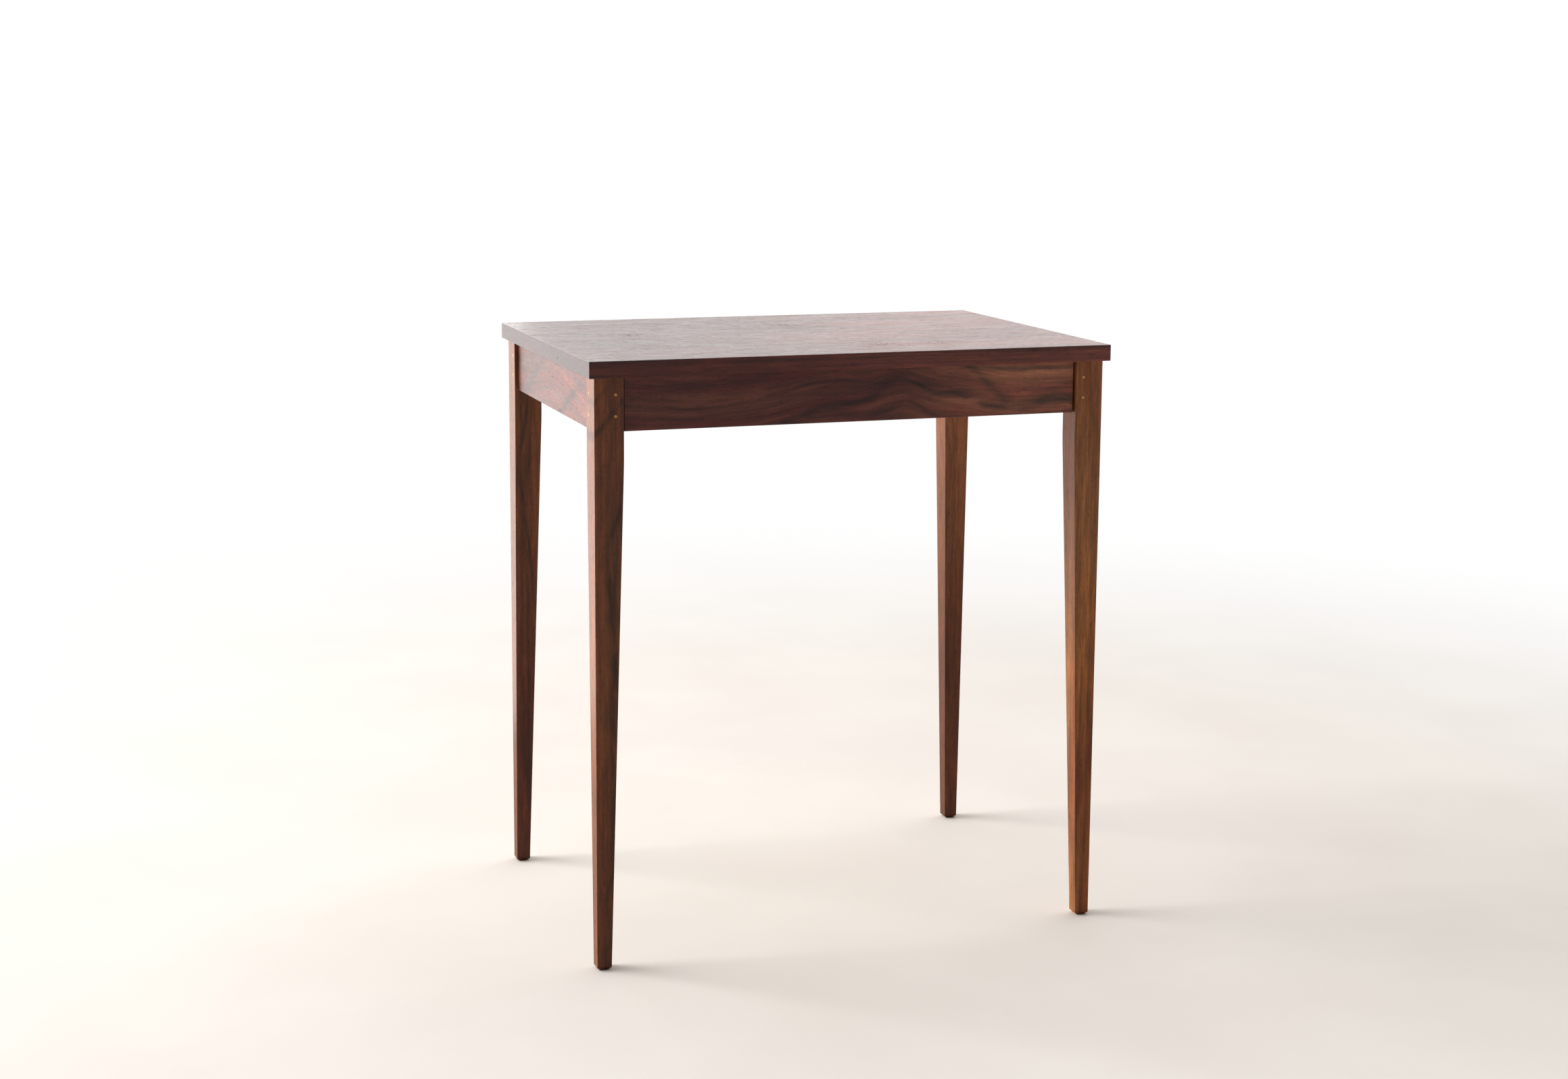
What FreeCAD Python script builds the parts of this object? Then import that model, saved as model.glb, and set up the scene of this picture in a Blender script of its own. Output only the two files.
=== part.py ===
import FreeCAD, Part
import math
import os
from FreeCAD import Vector

# Side table with one shallow drawer. Millimetres, +Z up, front at -Y, +X to the right seen
# from the front. The origin is on the floor, under the middle of the tabletop.

# Driving dimensions
HEIGHT = 700.0
TOP_LENGTH = 632.0
TOP_WIDTH = 440.0
TOP_THICK = 19.0
TOP_EASE = 0.8
OVERHANG_X = 7.0
OVERHANG_Y = 6.5

LEG = 34.0
FOOT = 17.0
TAPER_BELOW_APRON = 23.0
TAPER_CURVE = 700.0
LEG_EASE = 0.7
FOOT_CHAMFER = 3.0

APRON_HEIGHT = 62.0
APRON_THICK = 18.0
RECESS = 4.8
EDGE_EASE = 0.6
RAIL_THICK = 14.0

TENON_THICK = 8.0
TENON_SHOULDER = 6.0
LONG_TENON = 15.0
SIDE_TENON = 18.0
GLUE_LINE = 0.1
MORTISE_SPARE = 0.5

PIN_R = 1.6
PIN_LENGTH = 31.0
SIDE_PIN_LENGTH = 18.0
PIN_SETBACK = 9.5
PIN_DROPS = (19.2, 43.4)
PIN_FIT = 0.05

FRONT_THICK = 13.0
FRONT_END_GAP = 1.5
FRONT_TOP_GAP = 1.0
FRONT_RAISE = 1.0
FRONT_BACK_GAP = 0.4
GROOVE_R = 8.0
GROOVE_HALF_LENGTH = 70.0

OPENING_BELOW = 11.0
OPENING_ABOVE = 9.0
BOX_HALF = 249.0
BOX_SIDE_GAP = 1.5
BOX_HEIGHT = 40.0
BOARD = 11.0
SLIDE_CLEAR = 0.3
SIDE_END_Y = 185.0
DRAWER_BACK_Y = 85.0
HOUSING = 4.0

BOTTOM_THICK = 5.0
BOTTOM_LIFT = 6.5
BOTTOM_IN_GROOVE = 4.8
GROOVE_DEPTH = 5.0

TAIL_CENTRES = (11.0, 29.0)
TAIL_ROOT = 10.0
TAIL_END = 13.0

RUNNER_INNER = 236.0
RUNNER_OUTER = 266.0
RUNNER_THICK = 9.0
GUIDE_GAP = 1.0
GUIDE_HEIGHT = 12.0
STUB_LENGTH = 5.0
STUB_INSET = 3.0
KICKER_OUTER = 262.0
END_FIT = 0.15

BUTTON_WIDTH = 24.0
BUTTON_LENGTH = 20.0
BUTTON_THICK = 14.0
TONGUE_THICK = 5.5
TONGUE_LENGTH = 7.0
SLOT_SPARE = 2.0
SIDE_BUTTON_Y = 90.0
BACK_BUTTON_X = 140.0

SCREW_R = 1.75
SCREW_HEAD_R = 3.5
SCREW_HEAD = 2.4
SCREW_CROWN = 0.9
SCREW_TIP_R = 0.2
TOP_SCREW_LENGTH = 22.0
DRAWER_SCREW_LENGTH = 18.0
SCREW_FIT = 0.05
RECESS_R = 1.3
RECESS_DEPTH = 1.4
KICKER_SCREW_X = 255.5
KICKER_SCREW_Y = 115.0
SCREW_SLOT = 3.0

STOP_HALF = 20.0
STOP_THICK = 10.0
STOP_BOTTOM = 648.0
STOP_UNDER_TOP = 3.0

# Levels and faces worked out from the driving dimensions
UNDERSIDE = HEIGHT - TOP_THICK
APRON_BOTTOM = UNDERSIDE - APRON_HEIGHT
LEG_X = TOP_LENGTH / 2 - OVERHANG_X
LEG_Y = TOP_WIDTH / 2 - OVERHANG_Y
INNER_X = LEG_X - LEG
INNER_Y = LEG_Y - LEG
TAPER_TOP = APRON_BOTTOM - TAPER_BELOW_APRON
TENON_LOW = APRON_BOTTOM + TENON_SHOULDER
TENON_HIGH = UNDERSIDE - TENON_SHOULDER

FRONT_FACE = -(LEG_Y - RECESS)
FRONT_BACK = FRONT_FACE + FRONT_THICK
RAIL_FRONT = FRONT_BACK + FRONT_BACK_GAP
RAIL_BACK = RAIL_FRONT + RAIL_THICK
BACK_FACE = LEG_Y - RECESS
BACK_INNER = BACK_FACE - APRON_THICK
SIDE_FACE = LEG_X - RECESS
SIDE_INNER = SIDE_FACE - APRON_THICK

OPENING_LOW = APRON_BOTTOM + OPENING_BELOW
OPENING_HIGH = UNDERSIDE - OPENING_ABOVE
OPENING_HALF = BOX_HALF + BOX_SIDE_GAP
BOX_LOW = OPENING_LOW + SLIDE_CLEAR
BOX_HIGH = BOX_LOW + BOX_HEIGHT
BOX_INNER = BOX_HALF - BOARD
BOX_FRONT_INNER = FRONT_BACK + BOARD
DRAWER_BACK_REAR = DRAWER_BACK_Y + BOARD
BOTTOM_LOW = BOX_LOW + BOTTOM_LIFT
BOTTOM_HIGH = BOTTOM_LOW + BOTTOM_THICK


def block(x0, x1, y0, y1, z0, z1):
    """A box between two corners."""
    return Part.makeBox(x1 - x0, y1 - y0, z1 - z0, Vector(x0, y0, z0))


def rod(start, direction, radius, length):
    """A round bar from a point along a direction."""
    return Part.makeCylinder(radius, length, start, direction)


def flipped_x(shape):
    """The same piece on the other side of the table's middle."""
    return shape.mirror(Vector(0, 0, 0), Vector(1, 0, 0))


def cut_all(shape, tools):
    """The shape with every tool cut away from it."""
    for tool in tools:
        shape = shape.cut(tool)
    return shape


def one_solid(shape):
    """The single solid of a cut result."""
    solids = shape.Solids
    if len(solids) != 1:
        raise ValueError("expected one solid, found %d" % len(solids))
    return solids[0]


def eased(shape, radius, wanted):
    """The shape with the wanted edges rounded."""
    edges = [edge for edge in shape.Edges if wanted(edge)]
    return shape.makeFillet(radius, edges)


# Screws and pins

def screw(head_seat, direction, length):
    """A pan-head wood screw whose head bears on head_seat and whose shank runs along direction."""
    away = direction * -1
    shank = rod(head_seat, direction, SCREW_R, length - SCREW_R)
    tip_start = head_seat + direction * (length - SCREW_R)
    tip = Part.makeCone(SCREW_R, SCREW_TIP_R, SCREW_R, tip_start, direction)
    head = rod(head_seat, away, SCREW_HEAD_R, SCREW_HEAD)
    whole = head.fuse([shank, tip]).removeSplitter()
    whole = eased(whole, SCREW_CROWN, lambda edge: is_head_rim(edge, head_seat, direction))
    return whole.cut(driver_recess(head_seat, direction))


def is_head_rim(edge, head_seat, direction):
    """Whether an edge is the outer circle of a screw's head."""
    height = (edge.CenterOfMass - head_seat).dot(direction)
    return height < -SCREW_HEAD + 0.01 and edge.BoundBox.DiagonalLength > SCREW_HEAD_R


def driver_recess(head_seat, direction):
    """The square recess that takes a driver."""
    top = head_seat - direction * SCREW_HEAD
    recess = block(-RECESS_R, RECESS_R, -RECESS_R, RECESS_R, 0, RECESS_DEPTH)
    turn = FreeCAD.Rotation(Vector(0, 0, 1), direction)
    recess.Placement = FreeCAD.Placement(top, turn)
    return recess


def screw_hole(head_seat, direction, length):
    """The hole that a screw's shank fills, a hair wider than the shank."""
    return rod(head_seat, direction, SCREW_R + SCREW_FIT, length + SCREW_FIT)


def pin_places():
    """Start point and inward direction of each pin through a long rail's tenon, then a side's."""
    long_pins = []
    side_pins = []
    for sx in (-1, 1):
        for sy in (-1, 1):
            for drop in PIN_DROPS:
                level = UNDERSIDE - drop
                start = Vector(sx * (INNER_X + PIN_SETBACK), sy * LEG_Y, level)
                long_pins.append((start, Vector(0, -sy, 0)))
                start = Vector(sx * LEG_X, sy * (INNER_Y + PIN_SETBACK), level)
                side_pins.append((start, Vector(-sx, 0, 0)))
    return long_pins, side_pins


def pins(places, length, spare=0.0):
    """Round wooden pins, flush with the leg's face, or their holes when they are grown."""
    return [rod(start, inward, PIN_R + spare, length + spare) for start, inward in places]


# The frame

def taper_outline(across):
    """A leg's side view: straight on the outer edge, tapered on the inner edge below the apron.

    across gives the point at a distance from the outer face and at a height.
    """
    inset = TAPER_CURVE - (LEG - FOOT)
    reach = math.hypot(inset, TAPER_TOP)
    angle = math.atan2(TAPER_TOP, inset) - math.acos(TAPER_CURVE / reach)

    def on_curve(turned):
        distance = LEG - TAPER_CURVE * (1 - math.cos(turned))
        return across(distance, TAPER_TOP - TAPER_CURVE * math.sin(turned))

    edges = [
        Part.LineSegment(across(0, 0), across(FOOT, 0)).toShape(),
        Part.LineSegment(across(FOOT, 0), on_curve(angle)).toShape(),
        Part.Arc(on_curve(angle), on_curve(angle / 2), on_curve(0)).toShape(),
        Part.LineSegment(on_curve(0), across(LEG, UNDERSIDE)).toShape(),
        Part.LineSegment(across(LEG, UNDERSIDE), across(0, UNDERSIDE)).toShape(),
        Part.LineSegment(across(0, UNDERSIDE), across(0, 0)).toShape(),
    ]
    return Part.Face(Part.Wire(edges))


def leg_blank(sy):
    """The left leg's shape with no joinery, at the front (sy -1) or the back (sy 1)."""
    seen_from_front = taper_outline(lambda d, z: Vector(-LEG_X + d, sy * LEG_Y, z))
    seen_from_side = taper_outline(lambda d, z: Vector(-LEG_X, sy * (LEG_Y - d), z))
    blank = seen_from_front.extrude(Vector(0, -sy * LEG, 0))
    blank = blank.common(seen_from_side.extrude(Vector(LEG, 0, 0)))
    bottom = [e for e in blank.Edges if e.BoundBox.ZMax < 1e-6]
    blank = blank.makeChamfer(FOOT_CHAMFER, bottom)
    return eased(blank, LEG_EASE, lambda edge: edge.BoundBox.ZLength > FOOT_CHAMFER + 1)


def tenon(x0, x1, y0, y1, grow=0.0):
    """A tenon between two plan corners, or its mortise when it is grown."""
    low = TENON_LOW - grow
    high = TENON_HIGH + grow
    return block(x0 - grow, x1 + grow, y0 - grow, y1 + grow, low, high)


def long_tenon(face, thick, sx, grow=0.0):
    """The tenon at one end of the front rail or back apron, whose middle is at depth face."""
    middle = face + thick / 2
    low = middle - TENON_THICK / 2
    end = sorted((sx * INNER_X, sx * (INNER_X + LONG_TENON)))
    return tenon(end[0], end[1], low, low + TENON_THICK, grow)


def side_tenon(sx, sy, grow=0.0):
    """The tenon at one end of a side apron."""
    middle = sx * (SIDE_FACE - APRON_THICK / 2)
    half = TENON_THICK / 2
    end = sorted((sy * INNER_Y, sy * (INNER_Y + SIDE_TENON)))
    return tenon(middle - half, middle + half, end[0], end[1], grow)


def mortise(solid_tenon, outward):
    """The pocket for a tenon, a little deeper than the tenon is long."""
    deeper = solid_tenon.copy()
    deeper.translate(outward * MORTISE_SPARE)
    return solid_tenon.fuse(deeper)


def make_leg(sx, sy, pin_holes):
    """One leg with its two mortises and four pin holes."""
    leg = leg_blank(sy)
    if sx > 0:
        leg = flipped_x(leg)
    face = RAIL_FRONT if sy < 0 else BACK_INNER
    thick = RAIL_THICK if sy < 0 else APRON_THICK
    pocket = mortise(long_tenon(face, thick, sx, GLUE_LINE), Vector(sx, 0, 0))
    side_pocket = mortise(side_tenon(sx, sy, GLUE_LINE), Vector(0, sy, 0))
    return one_solid(cut_all(leg, [pocket, side_pocket] + pin_holes))


def make_side_apron(sx, pin_holes):
    """A side apron with a tenon at each end and slots for its two tabletop buttons."""
    faces = sorted((sx * SIDE_INNER, sx * SIDE_FACE))
    board = block(faces[0], faces[1], -INNER_Y, INNER_Y, APRON_BOTTOM, UNDERSIDE)
    board = eased(board, EDGE_EASE, is_lower_long_edge)
    board = board.fuse([side_tenon(sx, -1), side_tenon(sx, 1)])
    slots = [at_side(button_slot_at_origin(), sx, y) for y in (-SIDE_BUTTON_Y, SIDE_BUTTON_Y)]
    return one_solid(cut_all(board, slots + pin_holes))


def is_lower_long_edge(edge):
    """Whether an edge is one of an apron's two bottom arrises."""
    box = edge.BoundBox
    return box.ZMax < APRON_BOTTOM + 1e-6 and max(box.XLength, box.YLength) > LEG


def make_back_apron(pin_holes, runner_holes):
    """The back apron, with tenons, button slots and sockets for the drawer's runners."""
    board = block(-INNER_X, INNER_X, BACK_INNER, BACK_FACE, APRON_BOTTOM, UNDERSIDE)
    board = eased(board, EDGE_EASE, is_lower_long_edge)
    ends = [long_tenon(BACK_INNER, APRON_THICK, sx) for sx in (-1, 1)]
    board = board.fuse(ends)
    slots = [at_back(button_slot_at_origin(), x) for x in (-BACK_BUTTON_X, BACK_BUTTON_X)]
    return one_solid(cut_all(board, slots + pin_holes + runner_holes))


def make_front_rail(pin_holes, runner_holes):
    """The fixed rail behind the drawer front, with the opening that the drawer runs through."""
    board = block(-INNER_X, INNER_X, RAIL_FRONT, RAIL_BACK, APRON_BOTTOM, UNDERSIDE)
    board = eased(board, EDGE_EASE, is_lower_long_edge)
    ends = [long_tenon(RAIL_FRONT, RAIL_THICK, sx) for sx in (-1, 1)]
    board = board.fuse(ends)
    opening = block(
        -OPENING_HALF, OPENING_HALF, RAIL_FRONT - 1, RAIL_BACK + 1, OPENING_LOW, OPENING_HIGH
    )
    return one_solid(cut_all(board, [opening, finger_groove()] + pin_holes + runner_holes))


def finger_groove():
    """The routed finger groove under the joint between the drawer front and the rail."""
    middle = (FRONT_BACK + RAIL_FRONT) / 2
    level = APRON_BOTTOM + FRONT_RAISE / 2
    start = Vector(-GROOVE_HALF_LENGTH, middle, level)
    groove = rod(start, Vector(1, 0, 0), GROOVE_R, 2 * GROOVE_HALF_LENGTH)
    ends = [
        Part.makeSphere(GROOVE_R, Vector(sx * GROOVE_HALF_LENGTH, middle, level))
        for sx in (-1, 1)
    ]
    return groove.fuse(ends)


def make_tabletop(screw_holes):
    """The top, with its arrises lightly eased."""
    half_x = TOP_LENGTH / 2
    half_y = TOP_WIDTH / 2
    top = block(-half_x, half_x, -half_y, half_y, UNDERSIDE, HEIGHT)
    top = top.makeFillet(TOP_EASE, top.Edges)
    return one_solid(cut_all(top, screw_holes))


# Tabletop buttons: each hooks into an apron's slot and is screwed up into the top.

def button_at_origin():
    """A button whose tongue points along +Y from the apron's inner face at y 0."""
    half = BUTTON_WIDTH / 2
    low = UNDERSIDE - BUTTON_THICK
    body = block(-half, half, -BUTTON_LENGTH, -END_FIT, low, UNDERSIDE)
    body = eased(body, EDGE_EASE, lambda edge: edge.BoundBox.ZMax < low + 1e-6)
    tongue = block(-half, half, -1, TONGUE_LENGTH, low, low + TONGUE_THICK)
    return one_solid(body.fuse(tongue).removeSplitter())


def button_slot_at_origin():
    """The slot that a button's tongue hooks into."""
    half = BUTTON_WIDTH / 2 + SLOT_SPARE
    low = UNDERSIDE - BUTTON_THICK - GLUE_LINE
    high = low + TONGUE_THICK + 2 * GLUE_LINE
    return block(-half, half, -1, TONGUE_LENGTH + SLOT_SPARE, low, high)


def at_side(shape, sx, y):
    """A shape made at the origin, turned to a side apron's inner face."""
    placed = shape.copy()
    placed.rotate(Vector(0, 0, 0), Vector(0, 0, 1), -90 * sx)
    placed.translate(Vector(sx * SIDE_INNER, y, 0))
    return placed


def at_back(shape, x):
    """A shape made at the origin, moved to the back apron's inner face."""
    placed = shape.copy()
    placed.translate(Vector(x, BACK_INNER, 0))
    return placed


def button_screw_seats():
    """Where each button's screw head bears."""
    level = UNDERSIDE - BUTTON_THICK
    middle = BUTTON_LENGTH / 2
    seats = [
        Vector(sx * (SIDE_INNER - middle), y, level)
        for sx in (-1, 1)
        for y in (-SIDE_BUTTON_Y, SIDE_BUTTON_Y)
    ]
    return seats + [Vector(x, BACK_INNER - middle, level) for x in (-BACK_BUTTON_X, BACK_BUTTON_X)]


def make_buttons(screw_holes):
    """All the tabletop buttons, side ones first."""
    button = button_at_origin()
    placed = [at_side(button, sx, y) for sx in (-1, 1) for y in (-SIDE_BUTTON_Y, SIDE_BUTTON_Y)]
    placed += [at_back(button, x) for x in (-BACK_BUTTON_X, BACK_BUTTON_X)]
    return Part.makeCompound([one_solid(cut_all(piece, screw_holes)) for piece in placed])


# Runners below and kickers above the drawer's sides

def runner_stub(sy, grow=0.0):
    """The stub tenon at a left runner's front (sy -1) or back (sy 1) end."""
    x0 = -RUNNER_OUTER + STUB_INSET - grow
    x1 = -(BOX_HALF + GUIDE_GAP) - STUB_INSET + grow
    low = OPENING_LOW - RUNNER_THICK + STUB_INSET - grow
    high = OPENING_LOW + GUIDE_HEIGHT - STUB_INSET + grow
    face = RAIL_BACK if sy < 0 else BACK_INNER
    ends = sorted((face - sy * END_FIT, face + sy * (STUB_LENGTH + grow)))
    return block(x0, x1, ends[0], ends[1], low, high)


def runner_sockets(sy):
    """The sockets for both runners' stub tenons, in the rail or the back apron."""
    socket = runner_stub(sy, GLUE_LINE)
    return [socket, flipped_x(socket)]


def make_left_runner():
    """The strip that a drawer side slides on, with a raised guide outside it."""
    y0 = RAIL_BACK + END_FIT
    y1 = BACK_INNER - END_FIT
    base = block(-RUNNER_OUTER, -RUNNER_INNER, y0, y1, OPENING_LOW - RUNNER_THICK, OPENING_LOW)
    guide_face = -(BOX_HALF + GUIDE_GAP)
    guide = block(-RUNNER_OUTER, guide_face, y0, y1, OPENING_LOW, OPENING_LOW + GUIDE_HEIGHT)
    return one_solid(base.fuse([guide, runner_stub(-1), runner_stub(1)]).removeSplitter())


def kicker_screw_seats():
    """Where each kicker's screw head bears."""
    return [
        Vector(sx * KICKER_SCREW_X, y, OPENING_HIGH)
        for sx in (-1, 1)
        for y in (-KICKER_SCREW_Y, KICKER_SCREW_Y)
    ]


def kicker_slot(seat):
    """A kicker's screw slot, long in the direction that the top swells with the seasons."""
    radius = SCREW_R + SCREW_FIT
    height = OPENING_ABOVE + 2
    low = Vector(seat.x, seat.y - SCREW_SLOT, seat.z - 1)
    high = Vector(seat.x, seat.y + SCREW_SLOT, seat.z - 1)
    up = Vector(0, 0, 1)
    middle = block(
        seat.x - radius, seat.x + radius, low.y, high.y, low.z, low.z + height
    )
    return middle.fuse([rod(low, up, radius, height), rod(high, up, radius, height)])


def make_kicker(sx):
    """The strip above a drawer side that keeps the open drawer level."""
    ends = sorted((sx * RUNNER_INNER, sx * KICKER_OUTER))
    y0 = RAIL_BACK + END_FIT
    y1 = BACK_INNER - END_FIT
    strip = block(ends[0], ends[1], y0, y1, OPENING_HIGH, UNDERSIDE)
    slots = [kicker_slot(seat) for seat in kicker_screw_seats() if seat.x * sx > 0]
    return one_solid(cut_all(strip, slots))


# The drawer

def make_drawer_front(screw_holes):
    """The visible front, a full-height panel that hides the rail behind it."""
    half = INNER_X - FRONT_END_GAP
    low = APRON_BOTTOM + FRONT_RAISE
    high = UNDERSIDE - FRONT_TOP_GAP
    panel = block(-half, half, FRONT_FACE, FRONT_BACK, low, high)
    panel = eased(panel, EDGE_EASE, lambda edge: edge.BoundBox.YMax < FRONT_FACE + 1e-6)
    return one_solid(cut_all(panel, [finger_groove()] + screw_holes))


def tails(sx):
    """The dovetails at the front end of one drawer side."""
    x0 = min(sx * BOX_INNER, sx * BOX_HALF)
    solids = []
    for centre in TAIL_CENTRES:
        middle = BOX_LOW + centre
        corners = [
            Vector(x0, BOX_FRONT_INNER, middle - TAIL_ROOT / 2),
            Vector(x0, BOX_FRONT_INNER, middle + TAIL_ROOT / 2),
            Vector(x0, FRONT_BACK, middle + TAIL_END / 2),
            Vector(x0, FRONT_BACK, middle - TAIL_END / 2),
        ]
        outline = Part.makePolygon(corners + corners[:1])
        solids.append(Part.Face(outline).extrude(Vector(BOARD, 0, 0)))
    return solids


def bottom_panel(grow=0.0):
    """The drawer's bottom panel, or the groove for it when it is grown."""
    half = BOX_INNER + BOTTOM_IN_GROOVE + grow
    front = BOX_FRONT_INNER - BOTTOM_IN_GROOVE - grow
    rear = DRAWER_BACK_REAR if grow == 0.0 else SIDE_END_Y + 1
    return block(-half, half, front, rear, BOTTOM_LOW - grow, BOTTOM_HIGH + grow)


def make_box_front(screw_holes):
    """The drawer box's own front, behind the visible one, with sockets for the tails."""
    board = block(-BOX_HALF, BOX_HALF, FRONT_BACK, BOX_FRONT_INNER, BOX_LOW, BOX_HIGH)
    tools = tails(-1) + tails(1) + [bottom_panel(GLUE_LINE)] + screw_holes
    return one_solid(cut_all(board, tools))


def drawer_back_blank(grow=0.0):
    """The drawer's back, which stands on the bottom panel between the housings."""
    half = BOX_INNER + HOUSING + grow
    y0 = DRAWER_BACK_Y - grow
    y1 = DRAWER_BACK_REAR + grow
    return block(-half, half, y0, y1, BOTTOM_HIGH + GLUE_LINE, BOX_HIGH + grow)


def make_drawer_side(sx):
    """A drawer side, which runs on past the drawer's back so that it stays on its runner."""
    faces = sorted((sx * BOX_INNER, sx * BOX_HALF))
    board = block(faces[0], faces[1], BOX_FRONT_INNER, SIDE_END_Y, BOX_LOW, BOX_HIGH)
    board = board.fuse(tails(sx)).removeSplitter()
    return one_solid(cut_all(board, [bottom_panel(GLUE_LINE), drawer_back_blank(GLUE_LINE)]))


def make_drawer_stop(screw_holes):
    """The block on the drawer's back that meets the rail when the drawer is fully open."""
    high = UNDERSIDE - STOP_UNDER_TOP
    stop = block(
        -STOP_HALF, STOP_HALF, DRAWER_BACK_REAR, DRAWER_BACK_REAR + STOP_THICK, STOP_BOTTOM, high
    )
    stop = eased(stop, EDGE_EASE, lambda edge: edge.BoundBox.YMin > DRAWER_BACK_REAR + 1)
    return one_solid(cut_all(stop, screw_holes))


def drawer_screw_places():
    """Head seat and direction of each screw in the drawer, named by what it holds."""
    front_level = (BOTTOM_HIGH + BOX_HIGH) / 2
    stop_level = STOP_BOTTOM + STOP_THICK
    stop_rear = DRAWER_BACK_REAR + STOP_THICK
    edge_y = (DRAWER_BACK_Y + DRAWER_BACK_REAR) / 2
    return {
        "front": [
            (Vector(x, BOX_FRONT_INNER, front_level), Vector(0, -1, 0))
            for x in (-195, -65, 65, 195)
        ],
        "stop": [(Vector(x, stop_rear, stop_level), Vector(0, -1, 0)) for x in (-11, 11)],
        "bottom": [(Vector(x, edge_y, BOTTOM_LOW), Vector(0, 0, 1)) for x in (-130, 130)],
    }


def write_steps(nodes):
    """One STEP file for each node."""
    os.makedirs("parts", exist_ok=True)
    for name, shape in nodes.items():
        if not shape.isValid():
            raise ValueError(name + " is not a valid shape")
        shape.exportStep("parts/" + name + ".step")
        print("%-24s %2d solids %12.1f mm3" % (name, len(shape.Solids), shape.Volume))


def main():
    long_pins, side_pins = pin_places()
    pin_holes = pins(long_pins, PIN_LENGTH, PIN_FIT) + pins(side_pins, SIDE_PIN_LENGTH, PIN_FIT)
    up = Vector(0, 0, 1)
    top_seats = button_screw_seats() + kicker_screw_seats()
    top_holes = [screw_hole(seat, up, TOP_SCREW_LENGTH) for seat in top_seats]
    places = drawer_screw_places()
    holes = {
        use: [screw_hole(seat, way, DRAWER_SCREW_LENGTH) for seat, way in group]
        for use, group in places.items()
    }
    drawer_screws = [
        screw(seat, way, DRAWER_SCREW_LENGTH) for group in places.values() for seat, way in group
    ]
    left_runner = make_left_runner()

    nodes = {
        "tabletop": make_tabletop(top_holes),
        "leg_front_left": make_leg(-1, -1, pin_holes),
        "leg_front_right": make_leg(1, -1, pin_holes),
        "leg_back_left": make_leg(-1, 1, pin_holes),
        "leg_back_right": make_leg(1, 1, pin_holes),
        "side_apron_left": make_side_apron(-1, pin_holes),
        "side_apron_right": make_side_apron(1, pin_holes),
        "back_apron": make_back_apron(pin_holes, runner_sockets(1)),
        "front_rail": make_front_rail(pin_holes, runner_sockets(-1)),
        "front_and_back_pins": Part.makeCompound(pins(long_pins, PIN_LENGTH)),
        "side_pins": Part.makeCompound(pins(side_pins, SIDE_PIN_LENGTH)),
        "tabletop_buttons": make_buttons(top_holes),
        "tabletop_screws": Part.makeCompound([screw(s, up, TOP_SCREW_LENGTH) for s in top_seats]),
        "kicker_left": make_kicker(-1),
        "kicker_right": make_kicker(1),
        "drawer_runner_left": left_runner,
        "drawer_runner_right": flipped_x(left_runner),
        "drawer_front": make_drawer_front(holes["front"]),
        "drawer_box_front": make_box_front(holes["front"]),
        "drawer_side_left": make_drawer_side(-1),
        "drawer_side_right": make_drawer_side(1),
        "drawer_back": one_solid(
            cut_all(drawer_back_blank(), holes["stop"] + holes["bottom"])
        ),
        "drawer_bottom": one_solid(cut_all(bottom_panel(), holes["bottom"])),
        "drawer_stop": make_drawer_stop(holes["stop"]),
        "drawer_screws": Part.makeCompound(drawer_screws),
    }
    write_steps(nodes)


main()
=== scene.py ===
import math

import bpy
from mathutils import Matrix, Vector


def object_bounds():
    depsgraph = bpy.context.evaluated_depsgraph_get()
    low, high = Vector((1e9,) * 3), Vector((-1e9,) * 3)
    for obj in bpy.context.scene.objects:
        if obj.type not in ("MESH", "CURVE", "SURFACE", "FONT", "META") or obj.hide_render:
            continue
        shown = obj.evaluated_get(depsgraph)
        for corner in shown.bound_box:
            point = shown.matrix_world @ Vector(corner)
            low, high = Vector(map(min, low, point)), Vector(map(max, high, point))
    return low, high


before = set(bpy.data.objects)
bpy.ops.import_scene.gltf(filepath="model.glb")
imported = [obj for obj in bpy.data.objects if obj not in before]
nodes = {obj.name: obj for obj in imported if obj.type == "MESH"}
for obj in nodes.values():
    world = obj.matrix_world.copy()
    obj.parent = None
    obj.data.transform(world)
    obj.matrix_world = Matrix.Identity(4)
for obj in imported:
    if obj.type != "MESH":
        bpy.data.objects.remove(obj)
cad_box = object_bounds()
scene = bpy.context.scene

# Lengths are in metres, in the table's own frame: front at -Y, +X to the right, floor at z 0.

MM = 0.001
TOP_OVERHANG = 7 * MM
LEGS_LEFT = cad_box[0].x + TOP_OVERHANG  # x of the left legs' outer faces


# ---------------------------------------------------------------- node helpers

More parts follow.
